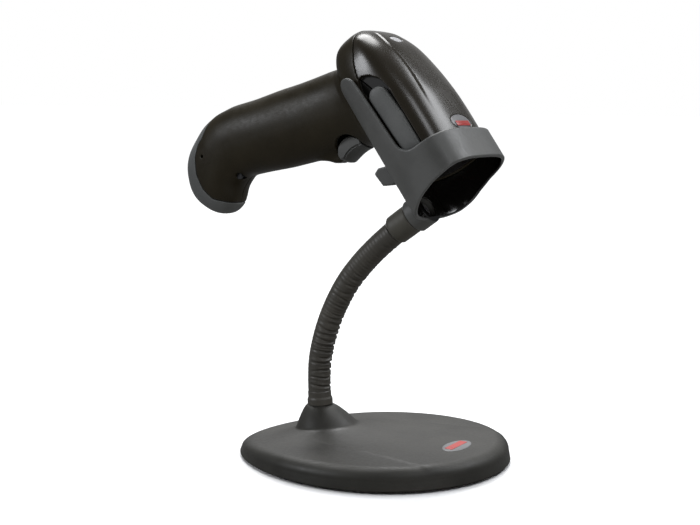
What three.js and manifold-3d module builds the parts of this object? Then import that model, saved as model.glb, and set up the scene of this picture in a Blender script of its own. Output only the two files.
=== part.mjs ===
// Hand-held barcode scanner resting in the cup of a gooseneck desk stand.
// Units are millimetres. +X runs forward, from the gooseneck towards the badge on the base,
// +Y is the object's left side and +Z is up. The origin is on the floor, under the centre of the base.
// The scanner and its cup are drawn in a frame of their own, tilted by TILT about Y:
// there +X is the aiming direction of the scanner, +Z its top, and the origin is at the cup's rear rim.
import * as THREE from "three";
import { mergeVertices } from "three/addons/utils/BufferGeometryUtils.js";
import Module from "manifold-3d";

const wasm = await Module();
wasm.setup();

// ---------------------------------------------------------------- driving dimensions
const TILT = 54.4; // aiming direction below the horizontal, degrees
const TWIST = -2; // the cup is turned a little on its fitting, degrees
const HEAD_AT = [47.3, 0, 192.8]; // origin of the tilted frame
const GAP = 0.3; // clearance between neighbouring pieces

const BASE_A = 86, // base outline: half length
  BASE_B = 76.6, // half width
  BASE_EGG = 0.124, // how much wider the front is than the back
  BASE_TOP = 15.7, // height of the top where it is highest
  BASE_CROWN = [0.0004, 0.00075], // how fast it falls towards the front and the back
  BASE_FALL = 0.03, // slope of the top outside the central tongue
  COVER_LOW = 1.3, // lower edge of the cover over the floor
  BOSS_X = -36.7, // centre of the gooseneck boss
  BOSS_TOP = 29.6,
  BOSS_R = 8.0;

const NECK = [ // centreline of the gooseneck, x and z
  [-36.7, 30.4], [-37.2, 37.5], [-37.4, 44.8], [-36.8, 57.6], [-34, 70.7], [-29.6, 83.7],
  [-23.5, 96.7], [-15.4, 109.8], [-4.8, 122.3], [5.6, 132.3], [16.15, 141.2],
];
const SLEEVE_R = [7.05, 7.55], // outer radius, bottom and top
  SLEEVE_BORE = 5.4,
  CORE_R = 5.0,
  COLLAR_R = 7.45,
  COLLAR_H = 8,
  JOINT_GAP = 1.5, // between neighbouring gooseneck sections
  JOINT_S = [22, 45, 68, 91, 113]; // where the gooseneck bends, along its centreline

const CUP_W = 38.6, // half width of the cup
  CUP_TOP = 22,
  CUP_BOTTOM = -30,
  CUP_WALL = 2.4,
  FIT_X = 23.3, // axis of the cup's mounting boss, in the tilted frame
  FIT_R = 9.2,
  FIT_TOP = -39.3,
  FIT_LOW = -54.9;

const WALL = 2.2; // scanner housing wall
// head sections along the aiming direction: x, half width, top, bottom
const HEAD = [
  [-86.2, 5.0, -6.0, -13],
  [-85.4, 11.5, -2.0, -17],
  [-83.4, 17.5, 1.8, -21.5],
  [-79.7, 23.9, 5.4, -25.2],
  [-72.8, 28.7, 9.4, -28.5],
  [-64, 31.8, 12.9, -30],
  [-52, 33.8, 15.6, -30.2],
  [-39, 34.8, 17.7, -30],
  [-25, 35.3, 19.0, -29],
  [-11, 35.5, 19.3, -27.6],
  [0, 35.5, 19.1, -26.8],
  [9, 35.3, 18.5, -26.2],
];
// handle sections: back point, front point (x, z), half width, squareness of the front
const HANDLE = [
  [-72, -18, -20, -24, 22.3, 2.6], [-79.3, -33, -28, -41.5, 18.4, 2.1], [-84, -48.5, -34.6, -58, 17.2, 2.1], [-87.4, -59, -37.4, -67, 17, 2.1],
  [-92, -71.5, -42, -77.5, 17, 2.2], [-98.2, -91, -48.8, -94.5, 16.8, 2.3], [-104.4, -107, -56, -110, 16.6, 2.4],
  [-107.4, -121, -61.8, -123.5, 16.4, 2.4], [-106.8, -133, -58.4, -133.6, 16.2, 2.4], [-103.4, -143.6, -51, -141.5, 15.8, 2.4],
  [-100.2, -151.6, -50, -149, 14.8, 2.4], [-95.2, -157.6, -54.2, -156.6, 13.4, 2.4], [-87.4, -161.8, -61, -162, 11.4, 2.4], [-80, -163.8, -68.5, -164, 8.6, 2.4],
];
const SEAM = [[-96, 2.9], [-88, 0.9], [-75.7, -2.6], [-63.3, -7.1], [-55.2, -9], [-41.2, -3.8], [19.5, 0.3]]; // between top cover and lower housings
const BAND = [[-114, -121], [-103, -128], [-97.8, -134.5], [-96.6, -139.5], [-90.7, -145.8], [-80.8, -150.4], [-70.8, -151.6], [-61.7, -149.3], [-54.5, -142.5], [-50, -137.2], [-38, -131.5]]; // inner edge of the rubber end piece
const TRIGGER_C = [-30.6, -49],
  TRIGGER_R = 9,
  TRIGGER_W = 9.4,
  TRIGGER_PIN = [-36.8, -36.4];

// ---------------------------------------------------------------- solids
const solidOf = (pos, idx) => {
  const make = (t) => new wasm.Manifold(new wasm.Mesh({ numProp: 3, vertProperties: new Float32Array(pos), triVerts: new Uint32Array(t) }));
  let m = make(idx);
  if (m.volume() < 0) {
    const t = [...idx];
    for (let i = 0; i < t.length; i += 3) [t[i + 1], t[i + 2]] = [t[i + 2], t[i + 1]];
    m = make(t);
  }
  return m;
};
const solid = (geometry, matrix) => {
  let g = geometry.clone();
  if (matrix) g.applyMatrix4(matrix);
  g.deleteAttribute("normal");
  g.deleteAttribute("uv");
  g = mergeVertices(g, 1e-4);
  return solidOf(g.attributes.position.array, g.index.array);
};
const geometryOf = (m) => {
  const out = m.getMesh();
  const g = new THREE.BufferGeometry();
  g.setAttribute("position", new THREE.BufferAttribute(new Float32Array(out.vertProperties), 3));
  g.setIndex([...out.triVerts]);
  return g;
};
// Closed solid through a row of rings with equal point counts; a torus-like solid when closed is true.
const loft = (rings, closed = false) => {
  const n = rings[0].length,
    pos = rings.flat(2),
    idx = [];
  const rows = closed ? rings.length : rings.length - 1;
  for (let r = 0; r < rows; r++)
    for (let i = 0; i < n; i++) {
      const a = r * n + i, b = r * n + ((i + 1) % n), c = ((r + 1) % rings.length) * n + i, d = ((r + 1) % rings.length) * n + ((i + 1) % n);
      idx.push(a, b, d, a, d, c);
    }
  if (!closed)
    for (const [r, flip] of [[0, true], [rings.length - 1, false]]) {
      const ring = rings[r];
      const c = [0, 1, 2].map((k) => ring.reduce((s, p) => s + p[k], 0) / n);
      const at = pos.length / 3;
      pos.push(...c);
      for (let i = 0; i < n; i++) flip ? idx.push(at, r * n + ((i + 1) % n), r * n + i) : idx.push(at, r * n + i, r * n + ((i + 1) % n));
    }
  return solidOf(pos, idx);
};
const M = (x = 0, y = 0, z = 0, rx = 0, ry = 0, rz = 0) =>
  new THREE.Matrix4().compose(new THREE.Vector3(x, y, z), new THREE.Quaternion().setFromEuler(new THREE.Euler(...[rx, ry, rz].map((d) => (d * Math.PI) / 180))), new THREE.Vector3(1, 1, 1));
const box = (x, y, z, m) => solid(new THREE.BoxGeometry(x, y, z), m);
const cylZ = (r, z0, z1, x = 0, y = 0, n = 24) => solid(new THREE.CylinderGeometry(r, r, z1 - z0, n), M(x, y, (z0 + z1) / 2, 90, 0, 0));
const cylY = (r, y0, y1, x, z, n = 24) => solid(new THREE.CylinderGeometry(r, r, y1 - y0, n), M(x, (y0 + y1) / 2, z));
const cylX = (r, x0, x1, y, z, n = 20) => solid(new THREE.CylinderGeometry(r, r, x1 - x0, n), M((x0 + x1) / 2, y, z, 0, 0, 90));
// Outline in x and z, drawn through y0 to y1.
const slab = (pts, y0, y1) => {
  const s = new THREE.Shape(pts.map(([x, z]) => new THREE.Vector2(x, z)));
  return solid(new THREE.ExtrudeGeometry(s, { depth: y1 - y0, bevelEnabled: false }), new THREE.Matrix4().makeRotationX(Math.PI / 2).premultiply(new THREE.Matrix4().makeTranslation(0, y1, 0)));
};
const all = (list) => list.reduce((a, b) => a.add(b));
const arc = (cx, cz, r, a0, a1, n) => Array.from({ length: n + 1 }, (_, i) => {
  const a = ((a0 + ((a1 - a0) * i) / n) * Math.PI) / 180;
  return [cx + r * Math.cos(a), cz + r * Math.sin(a)];
});
// Rounded section across the aiming direction.
const section = (x, w, top, bottom, n = 36, mid = -4, pt = 3.1, pb = 2.4) =>
  Array.from({ length: n }, (_, i) => {
    const a = (2 * Math.PI * (i + 0.5)) / n, c = Math.cos(a), s = Math.sin(a), p = s > 0 ? pt : pb;
    return [x, w * Math.sign(c) * Math.abs(c) ** (2 / p), mid + (s > 0 ? top - mid : mid - bottom) * Math.sign(s) * Math.abs(s) ** (2 / p)];
  });

// ---------------------------------------------------------------- model tree
const root = new THREE.Group();
const lean = new THREE.Group();
lean.position.set(...HEAD_AT);
lean.rotation.y = (TILT * Math.PI) / 180;
root.add(lean);
const turn = new THREE.Group(); // turned about the axis of the cup's fitting
turn.position.x = FIT_X;
turn.rotation.z = (TWIST * Math.PI) / 180;
lean.add(turn);
const tilted = new THREE.Group();
tilted.position.x = -FIT_X;
turn.add(tilted);
const put = (group, name, solidShape, color, roughness = 0.6, metalness = 0) => {
  const mesh = new THREE.Mesh(geometryOf(solidShape), new THREE.MeshStandardMaterial({ color, roughness, metalness }));
  mesh.name = name;
  group.add(mesh);
};
const DARK = 0x1d1a18, GLOSS = 0x17140f, GREY = 0x34363a, WARM = 0x2b2927, STEEL = 0x9a9da0, BOARD = 0x1f4a2c, RED = 0xa02422;

// ---------------------------------------------------------------- stand base
const outline = (a, s = 1, inset = 0) => {
  const x = Math.cos(a), y = Math.sin(a);
  return [(BASE_A * s - inset) * x, (BASE_B * s - inset) * y * (1 + BASE_EGG * x)];
};
const fall = (x, y) => {
  const d = x > -16 ? Math.abs(y) - (22 + 0.25 * (x + 16)) : Math.hypot(x + 16, y) - 22;
  return BASE_FALL * Math.max(0, d);
};
const bossHeight = (x, y) => {
  const dx = x - BOSS_X, r = Math.hypot(dx, y), c = r > 1e-6 ? dx / r : 0;
  const foot = 21.2 + 6.2 * c, t = (r - BOSS_R) / (foot - BOSS_R);
  if (t >= 1) return 0;
  return (BOSS_TOP - deck(x, y)) * (1 - Math.max(0, t) ** (1.45 - 0.1 * c));
};
const N_BASE = 38;
const ringAt = (t, z) => // t 0 at the outline, 1 at the boss bore
  Array.from({ length: N_BASE }, (_, i) => {
    const a = (2 * Math.PI * i) / N_BASE, [ox, oy] = outline(a), bx = BOSS_X + 6.2 * Math.cos(a), by = 6.2 * Math.sin(a);
    const x = ox + (bx - ox) * t, y = oy + (by - oy) * t;
    return [x, y, z(x, y)];
  });
const insetRing = (inset, z) =>
  Array.from({ length: N_BASE }, (_, i) => {
    const [x, y] = outline((2 * Math.PI * i) / N_BASE, 1, inset);
    return [x, y, z(x, y)];
  });
const deck = (x, y) => BASE_TOP - BASE_CROWN[x > 14 ? 0 : 1] * (x - 14) ** 2 - fall(x, y);
// the deck swells gently up to the foot of the boss
const swell = (x, y) => {
  const dx = x - BOSS_X, r = Math.hypot(dx, y), q = (r * 21.2) / (21.2 + (6.2 * dx) / Math.max(r, 1e-6));
  return 4.3 * (1 - Math.min(1, Math.max(0, (q - 15) / 30))) ** 2;
};
const top = (x, y) => deck(x, y) + Math.max(bossHeight(x, y), swell(x, y));
{
  const rings = [
    insetRing(0.35, () => COVER_LOW),
    insetRing(0, () => COVER_LOW + 0.9),
    insetRing(1.0, (x, y) => 0.5 * deck(x, y)),
    insetRing(2.7, (x, y) => 0.78 * deck(x, y)),
    insetRing(5.0, (x, y) => deck(x, y) - 1.2),
    insetRing(8.4, (x, y) => deck(x, y) - 0.25),
    ringAt(0.2, top), ringAt(0.38, top), ringAt(0.55, top), ringAt(0.68, top), ringAt(0.77, top), ringAt(0.84, top), ringAt(0.9, top), ringAt(0.955, top), ringAt(1, top),
    // underside, back out to the wall
    ringAt(1, () => BOSS_TOP - 3.4),
    ringAt(0.9, (x, y) => top(x, y) - 3.2), ringAt(0.77, (x, y) => top(x, y) - 3.2), ringAt(0.6, (x, y) => deck(x, y) - 2.8), ringAt(0.3, (x, y) => deck(x, y) - 2.6),
    insetRing(9.5, (x, y) => deck(x, y) - 3.0),
    insetRing(5.4, (x, y) => 0.72 * deck(x, y) - 0.6),
    insetRing(3.1, () => COVER_LOW),
  ];
  let cover = loft(rings, true);
  // oval recess for the badge
  const badge = (s, z0, z1) => {
    const g = new THREE.CylinderGeometry(1, 1, 1, 28);
    return solid(g, new THREE.Matrix4().makeTranslation(59, 0, (z0 + z1) / 2).multiply(new THREE.Matrix4().makeScale(6 * s, 13 * s, z1 - z0)).multiply(new THREE.Matrix4().makeRotationX(Math.PI / 2)));
  };
  cover = cover.subtract(badge(1.03, 13.4, 19));
  put(root, "base_cover", cover, WARM, 0.62);
  put(root, "base_badge", badge(0.99, 13.7, 15), 0x8a8c90, 0.4);
}
const plate = (inset, z0, z1) => loft([z0, z1].map((z) => insetRing(inset, typeof z === "function" ? z : () => z)));
const SCREWS = [[44, 36], [44, -36], [-62, 0]];
{
  const studHole = cylZ(4.4, -5, 30, BOSS_X, 0, 20);
  put(root, "non_slip_pad", plate(4.8, 0, 1.2), 0x151515, 0.9);
  let bottom = plate(4.8, 1.5, 3.3);
  for (const [x, y] of SCREWS) bottom = bottom.subtract(cylZ(2.1, 0, 5, x, y, 14)).subtract(cylZ(3.9, 1, 2.5, x, y, 16));
  put(root, "base_bottom_plate", bottom, 0x1c1c1c, 0.7);
  let ballast = plate(16, 3.6, (x, y) => deck(x, y) - 5.4).subtract(studHole);
  for (const [x, y] of SCREWS) ballast = ballast.subtract(cylZ(4.6, 0, 12, x, y, 14));
  put(root, "ballast_plate", ballast, STEEL, 0.5, 0.9);
  SCREWS.forEach(([x, y], i) =>
    put(root, "base_screw_" + (i + 1), cylZ(3.6, 1.6, 2.2, x, y, 16).add(cylZ(1.8, 2.1, i < 2 ? 8.6 : 6.6, x, y, 12)).subtract(box(4.6, 0.8, 0.5, M(x, y, 1.6))), STEEL, 0.35, 0.9),
  );
  // gooseneck stud, flange and lock nut, inside the boss
  put(root, "gooseneck_stud", all([cylZ(4, 3.8, 29.9, BOSS_X, 0, 20), cylZ(7.4, 13.1, 15.1, BOSS_X, 0, 20)]), STEEL, 0.35, 0.9);
  put(root, "gooseneck_nut", solid(new THREE.CylinderGeometry(7.5, 7.5, 4.8, 6), M(BOSS_X, 0, 10.0, 90, 0, 0)).subtract(cylZ(4.3, 5, 14, BOSS_X, 0, 20)), STEEL, 0.35, 0.9);
}

// ---------------------------------------------------------------- gooseneck
const neck = new THREE.CatmullRomCurve3(NECK.map(([x, z]) => new THREE.Vector3(x, 0, z)), false, "centripetal");
neck.arcLengthDivisions = 400;
const NECK_LEN = neck.getLength();
const neckRing = (s, r, n) => {
  const u = Math.min(1, Math.max(0, s / NECK_LEN)), p = neck.getPointAt(u), t = neck.getTangentAt(u);
  const nx = t.z, nz = -t.x; // across the centreline, in its plane
  return Array.from({ length: n }, (_, i) => {
    const a = (2 * Math.PI * i) / n;
    return [p.x + r * Math.cos(a) * nx, r * Math.sin(a), p.z + r * Math.cos(a) * nz];
  });
};
const sleeveR = (s) => SLEEVE_R[0] + (SLEEVE_R[1] - SLEEVE_R[0]) * (s / NECK_LEN);
const steps = (s0, s1, k) => Array.from({ length: k + 1 }, (_, i) => s0 + ((s1 - s0) * i) / k);
const cuts = [COLLAR_H + 0.3, ...JOINT_S, NECK_LEN - 0.2];
for (let i = 0; i + 1 < cuts.length; i++) {
  const s0 = cuts[i] + (i ? JOINT_GAP / 2 : 0), s1 = cuts[i + 1] - (i + 2 < cuts.length ? JOINT_GAP / 2 : 0);
  const k = steps(s0, s1, 3);
  put(root, "neck_sleeve_" + (i + 1), loft([...k.map((s) => neckRing(s, sleeveR(s), 18)), ...[...k].reverse().map((s) => neckRing(s, SLEEVE_BORE, 18))], true), WARM, 0.6);
  const c0 = i ? s0 : 0.3, c1 = s1;
  put(root, "neck_core_" + (i + 1), loft(steps(c0, c1, 3).map((s) => neckRing(s, CORE_R, 12))), STEEL, 0.4, 0.9);
}
{
  const k = steps(0.1, COLLAR_H, 2);
  put(root, "neck_collar", loft([...k.map((s) => neckRing(s, COLLAR_R, 24)), ...[...k].reverse().map((s) => neckRing(s, SLEEVE_BORE, 24))], true), 0x242322, 0.5);
}

// ---------------------------------------------------------------- cup
{
  const X = [-62, -40, -20, 0, 12, 24, 40];
  const outer = loft(X.map((x) => section(x, CUP_W, CUP_TOP, CUP_BOTTOM, 40, -4, 3.4, 2.5)));
  const inner = loft([-64, 42].map((x) => section(x, CUP_W - CUP_WALL, CUP_TOP - CUP_WALL, CUP_BOTTOM + CUP_WALL, 40, -4, 3.4, 2.5)));
  const side = [
    [19.8, 25], [20.5, 16], [22, 8], [23.2, 0], [25.6, -9], [28.8, -17], [30.9, -24], [31.6, -30], [31.7, -32], // front edge of the ring
    [-4, -32], [-9, -31], [-15.9, -28.4], [-27.1, -27.2], [-37.3, -26.3], [-45.4, -25.1],
    ...arc(-51.6, -17.5, 7.9, 248, 112, 7), // rounded tip of the prong
    [-45, -9.2], [-8.6, -7.1], [-4.8, -6.1], [-2.3, -4], [-0.4, -1.2], [0, 2], [0, 25],
  ];
  // room for the scanner to be lifted out backwards
  const room = loft([[-66, -31], [-28, -30.9], [-10, -28.2], [0, -27.6], [44, -27.6]].map(([x, low]) => section(x, 36.1, 19.6, low, 40, -4, 3.4, 2.4)));
  let cup = outer.subtract(inner).intersect(slab(side, -45, 45));
  // boss for the gooseneck fitting, with a counterbore for the screw
  const boss = cylZ(10.4, FIT_TOP + GAP, CUP_BOTTOM + 4, FIT_X, 0, 28);
  cup = cup.add(boss).subtract(room);
  cup = cup.subtract(cylZ(2.4, -45, -20, FIT_X, 0, 16)).subtract(cylZ(6.2, -33, -20, FIT_X, 0, 20));
  // catch under the rear of the cup
  cup = cup.add(slab([[-3.5, -28.6], [5.1, -28.6], [4.7, -31.6], [1.9, -37], [-7.2, -38], [-8.7, -34], [-6.5, -29.6]], -19, -9).subtract(room));
  put(tilted, "cup", cup, GREY, 0.5);
  put(tilted, "cup_screw", all([cylZ(4.6, -32.7, -30.2, FIT_X, 0, 18), cylZ(2.0, -49, -32, FIT_X, 0, 14)]).subtract(box(6, 1, 1.6, M(FIT_X, 0, -30.4))).subtract(box(1, 6, 1.6, M(FIT_X, 0, -30.4))), STEEL, 0.3, 0.9);
  put(tilted, "neck_fitting", all([cylZ(FIT_R, FIT_LOW, FIT_TOP, FIT_X, 0, 28)]).subtract(cylZ(2.4, -50, -38, FIT_X, 0, 14)), 0x242322, 0.5);
}

// ---------------------------------------------------------------- scanner shells
const headOuter = loft(HEAD.map(([x, w, t, b]) => section(x, w, t, b)));
const headInner = loft(HEAD.map(([x, w, t, b], i) => section(i === 0 ? x + 2.6 : i === HEAD.length - 1 ? 14 : x + (i < 4 ? 1.6 : 0), Math.max(w - (i < 3 ? 3 : 4.6), 2), t - WALL, b + WALL)));
const handleRing = ([bx, bz, fx, fz, w, square], inset, n = 28) => {
  const L = Math.hypot(fx - bx, fz - bz), ux = (fx - bx) / L, uz = (fz - bz) / L, cx = (bx + fx) / 2, cz = (bz + fz) / 2, d = L / 2 - inset;
  return Array.from({ length: n }, (_, i) => {
    const a = (2 * Math.PI * (i + 0.5)) / n, c = Math.cos(a), s = Math.sin(a), p = c > 0 ? square : 2.35;
    const k = d * Math.sign(c) * Math.abs(c) ** (2 / p);
    return [cx + ux * k, (w - inset) * Math.sign(s) * Math.abs(s) ** (2 / p), cz + uz * k];
  });
};
const handleOuter = loft(HANDLE.map((h) => handleRing(h, 0)));
const handleInner = loft(HANDLE.slice(0, -1).map((h, i, l) => handleRing(i === l.length - 1 ? [h[0], h[1] + 1.6, h[2], h[3] + 1.6, h[4], h[5]] : h, i < 1 ? 4 : WALL)));
const outer = headOuter.add(handleOuter);
let shell = outer.subtract(headInner).subtract(handleInner);
// guard that juts forward under the trigger
shell = shell.add(slab([[-45, -71], [-41.2, -72.8], [-32.4, -64.8], [-30.4, -61.8], [-30.6, -58], [-45, -57]], -5.4, 5.4).subtract(handleInner));
// side recesses that hold the rubber pads
const recess = [[5.6, -7.1], [-38.9, -9.7], [-46.9, -11.6], [-53.5, -9.3], [-54.5, -6], [-51.8, -1.2], [-46.5, 3.3], [-39.5, 5.3], [-21.3, 5.9], [5, 6.3]];
for (const [a, b] of [[33.0, 45], [-45, -33.0]]) shell = shell.subtract(slab(recess, a, b));
const seamPath = (off) => SEAM.map(([x, z]) => [x, z + off]);
const above = (off) => slab([...seamPath(off), [20, 60], [-96, 60]], -50, 50);
const below = (off) => slab([[-96, -190], [20, -190], ...seamPath(off).reverse()], -50, 50);
const band = (off) => slab([...BAND.map(([x, z]) => [x, z + off]), [-38, -190], [-114, -190]], -50, 50);
const notBand = (off) => slab([...BAND.map(([x, z]) => [x, z + off]), [60, -131.5 + off], [60, 80], [-140, 80], [-140, -121 + off]], -50, 50);

let cover = shell.intersect(above(GAP / 2));
// window for the status light and seat for the nameplate
const lensAt = M(-71, 0, 9.2, 0, -20, 0);
const lensShape = (r, h) => solid(new THREE.CylinderGeometry(r, r, h, 20), lensAt.clone().multiply(new THREE.Matrix4().makeScale(0.75, 1.7, 1)).multiply(new THREE.Matrix4().makeRotationX(Math.PI / 2)));
cover = cover.subtract(lensShape(2.95, 14));
const nameplate = (s, h) => solid(new THREE.CylinderGeometry(1, 1, h, 28), M(-5.6, 0, 19.3).multiply(new THREE.Matrix4().makeScale(5 * s, 11.5 * s, 1)).multiply(new THREE.Matrix4().makeRotationX(Math.PI / 2)));
cover = cover.subtract(nameplate(1.04, 2.4));
put(tilted, "top_cover", cover, GLOSS, 0.25);
put(tilted, "status_lens", lensShape(2.7, 5).intersect(headOuter), 0xd8dde0, 0.1);
put(tilted, "front_badge", nameplate(0.98, 1.8).intersect(headOuter), 0x8a8c90, 0.4);

let low = shell.intersect(below(-GAP / 2)).intersect(notBand(GAP / 2));
// trigger slot and the two small holes near the end of the handle
const triggerGap = 1.3;
const slot = slab([...arc(TRIGGER_C[0], TRIGGER_C[1], TRIGGER_R + triggerGap, 100, 262, 14), [TRIGGER_C[0] + 30, TRIGGER_C[1] - 9.2], [TRIGGER_C[0] + 30, TRIGGER_C[1] + 9.6]], -30, 30)
  .add(slab([[-29, -42], [-29, -35.4], [-32, -32], [-42, -32], [-43.4, -42]], -5.7, 5.7));
low = low.subtract(slot);
low = low.subtract(cylY(1.5, -1, 4.6, -63.6, -125.8, 12)).subtract(cylY(1.0, -20, 0, -87.8, -139.6, 12)).subtract(cylY(2.5, -20, 0, -63.6, -125.8, 16));
put(tilted, "housing_left", low.intersect(box(400, 60, 400, M(0, 30 + GAP / 2, 0))), DARK, 0.55);
put(tilted, "housing_right", low.intersect(box(400, 60, 400, M(0, -30 - GAP / 2, 0))), DARK, 0.55);
const socketHole = box(12.6, 10.6, 40, M(-77.1, 0, -166));
put(tilted, "handle_end_bumper", shell.intersect(band(-GAP / 2)).subtract(socketHole), GREY, 0.7);
const padSide = [[1, -6.9], [-37.4, -9.1], ...arc(-37.9, -2.8, 6.3, 262, 100, 8), [-21.3, 5.4], [0.5, 5.5]];
put(tilted, "side_bumper_left", slab(padSide, 33.3, 35.2), GREY, 0.7);
put(tilted, "side_bumper_right", slab(padSide, -35.2, -33.3), GREY, 0.7);

// nose: bezel and exit window
const frontRing = (x, g) => section(x, 35.3 - 4.6 - g, 18.7 - WALL - g, -26.3 + WALL + g, 36);
put(tilted, "nose_bezel", loft([4.6, 8.6].map((x) => frontRing(x, 0.5))).subtract(loft([2, 12].map((x) => frontRing(x, 3.2)))), 0x191919, 0.5);
put(tilted, "scan_window", loft([2.6, 4.2].map((x) => frontRing(x, 1.2))), 0x260708, 0.05);

// ---------------------------------------------------------------- trigger
{
  const [cx, cz] = TRIGGER_C, [px, pz] = TRIGGER_PIN;
  const bow = slab([...arc(cx, cz, TRIGGER_R, 96, 262, 14), [cx + 1.2, cz - 8.7], [cx + 2.7, cz - 6.6], [cx + 1.5, cz - 2.5], [cx + 0.8, cz + 1.4], [cx + 1.1, cz + 5.5], [cx + 2, cz + 8.9]], -TRIGGER_W, TRIGGER_W)
    .add(slab([[cx - 1, cz - 8.9], [cx + 2.4, cz - 8.9], [cx + 3.9, cz - 6.6], [cx + 3.3, cz - 2.5], [cx + 2.9, cz + 1.4], [cx + 3.1, cz + 5.5], [cx + 3.6, cz + 8.9], [cx - 1, cz + 8.9]], -5.5, 5.5));
  const arm = cylY(3.4, -5, 5, px, pz, 16).add(slab([[px - 3.2, pz], [px + 3.2, pz], [cx + 2, cz + 7], [cx - 6.4, cz + 4]], -5, 5));
  const trigger = bow.add(arm).subtract(cylY(1.5, -16, 16, px, pz, 16)).subtract(box(9, 12, 8, M(cx - 7, 0, cz - 1)));
  put(tilted, "trigger", trigger, GREY, 0.5);
  put(tilted, "trigger_pin", cylY(1.2, -11.2, 11.2, px, pz, 14), STEEL, 0.3, 0.9);
  // torsion return spring round the pin
  const pts = [];
  for (let i = 0; i <= 24; i++) {
    const a = (i / 24) * Math.PI * 2 * 2.5;
    pts.push([px + 3.0 * Math.cos(a), 6.4 + i * 0.125, pz + 3.0 * Math.sin(a)]);
  }
  const spring = new THREE.CatmullRomCurve3([new THREE.Vector3(px + 3, 6.4, pz - 2.4), ...pts.map((p) => new THREE.Vector3(...p)), new THREE.Vector3(px - 9.5, 9.4, pz - 0.8)]);
  const sh = new THREE.Shape(Array.from({ length: 6 }, (_, i) => new THREE.Vector2(0.4 * Math.cos((i * Math.PI) / 3), 0.4 * Math.sin((i * Math.PI) / 3))));
  put(tilted, "trigger_spring", solid(new THREE.ExtrudeGeometry(sh, { steps: 32, extrudePath: spring, bevelEnabled: false })), STEEL, 0.3, 0.9);
}

// ---------------------------------------------------------------- inside the handle
{
  const tilt = -12.8; // handle boards follow the handle's axis
  const at = (x, y, z) => M(-60, 0, -90.9, 0, -tilt, 0).multiply(M(x, y, z));
  put(tilted, "main_board", box(1.6, 16.2, 74, at(0, 0, 3)), BOARD, 0.5);
  put(tilted, "trigger_switch", all([box(4, 7, 7, at(3.2, 0, 36)), cylX(1.7, 0, 1.2, 0, 0, 12).transform ? solid(new THREE.CylinderGeometry(1.7, 1.7, 1.6, 12), at(5.9, 0, 36).multiply(M(0, 0, 0, 0, 0, 90))) : null]), 0x111111, 0.5);
  put(tilted, "beeper", solid(new THREE.CylinderGeometry(6, 6, 5, 20), at(-4.2, 0, 10).multiply(M(0, 0, 0, 0, 0, 90))), 0x111111, 0.5);
  put(tilted, "cable_socket", box(12, 10, 15, M(-77.1, 0, -154)).subtract(box(9.4, 7.6, 13, M(-77.1, 0, -156.2))), 0x151515, 0.5);
  put(tilted, "housing_screw_lower", all([cylY(2.0, -9.6, -8, -63.6, -125.8, 14), cylY(1.2, -8.2, 4, -63.6, -125.8, 10)]), STEEL, 0.35, 0.9);
  put(tilted, "housing_screw_upper", all([cylY(2.2, -11.6, -10, -74.8, -63.7, 14), cylY(1.2, -10.2, 6, -74.8, -63.7, 10)]), STEEL, 0.35, 0.9);
}

// ---------------------------------------------------------------- inside the head
{
  put(tilted, "decoder_board", box(50, 36, 1.6, M(-38, 0, -21.4)), BOARD, 0.5);
  const chassis = box(40, 36, 24, M(-32, 0, -7.6)).subtract(box(42, 32, 23, M(-32, 0, -5.6))).subtract(cylY(5, -20, -10, -44, -6, 14));
  put(tilted, "laser_chassis", chassis, 0x2e2e30, 0.5, 0.3);
  put(tilted, "laser_diode", cylX(4.2, -50, -38, 8, -8, 16), 0xb08d3a, 0.3, 0.9);
  put(tilted, "mirror_post", all([cylZ(3.2, -16.7, -15.2, -24, 4, 16), cylZ(0.8, -15.5, -1.5, -24, 4, 10)]), STEEL, 0.3, 0.9);
  put(tilted, "scan_mirror", all([cylZ(2.0, -14.6, -3, -24, 4, 16), box(1.2, 12, 10.6, M(-24, 4, -8.6).multiply(M(2.0, 0, 0)))]).subtract(cylZ(1.1, -20, 0, -24, 4, 12)), 0xcfd6da, 0.05, 1);
  put(tilted, "collecting_mirror", box(1.6, 14, 16, M(-41, -7, -7.4, 0, -10, 0)), 0xcfd6da, 0.05, 1);
  put(tilted, "light_sensor", box(2.4, 6, 6, M(-14.4, -10, -9)), 0x111111, 0.3);
  put(tilted, "chassis_screw_front", all([cylZ(2, -16.8, -15.2, -16.5, 12, 12)]), STEEL, 0.35, 0.9);
  put(tilted, "chassis_screw_rear", all([cylZ(2, -16.8, -15.2, -48, -13, 12)]), STEEL, 0.35, 0.9);
  put(tilted, "status_led", box(3.4, 2.6, 1.4, M(-70, 0, 4.2)).add(cylZ(1.1, 4.8, 5.8, -70, 0, 10)), 0xe0e0d8, 0.3);
}

export default root;
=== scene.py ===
"""Looks of the hand-held barcode scanner and its gooseneck stand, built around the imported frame."""
import math

import bpy
import numpy as np
from mathutils import Matrix, Vector


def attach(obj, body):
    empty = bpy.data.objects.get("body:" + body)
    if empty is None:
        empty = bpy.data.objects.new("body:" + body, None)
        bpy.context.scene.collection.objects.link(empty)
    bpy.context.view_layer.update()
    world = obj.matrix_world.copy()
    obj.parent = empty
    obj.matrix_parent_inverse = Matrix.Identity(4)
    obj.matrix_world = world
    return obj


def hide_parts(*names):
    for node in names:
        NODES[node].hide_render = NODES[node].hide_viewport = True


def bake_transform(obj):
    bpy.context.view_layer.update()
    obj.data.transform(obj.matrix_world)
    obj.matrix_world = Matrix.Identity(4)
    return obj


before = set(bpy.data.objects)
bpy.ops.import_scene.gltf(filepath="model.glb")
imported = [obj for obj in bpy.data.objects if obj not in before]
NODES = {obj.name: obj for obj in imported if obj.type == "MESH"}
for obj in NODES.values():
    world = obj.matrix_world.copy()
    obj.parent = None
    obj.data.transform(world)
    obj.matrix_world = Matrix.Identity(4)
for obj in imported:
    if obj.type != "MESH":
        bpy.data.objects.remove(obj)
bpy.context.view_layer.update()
scene = bpy.context.scene

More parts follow.
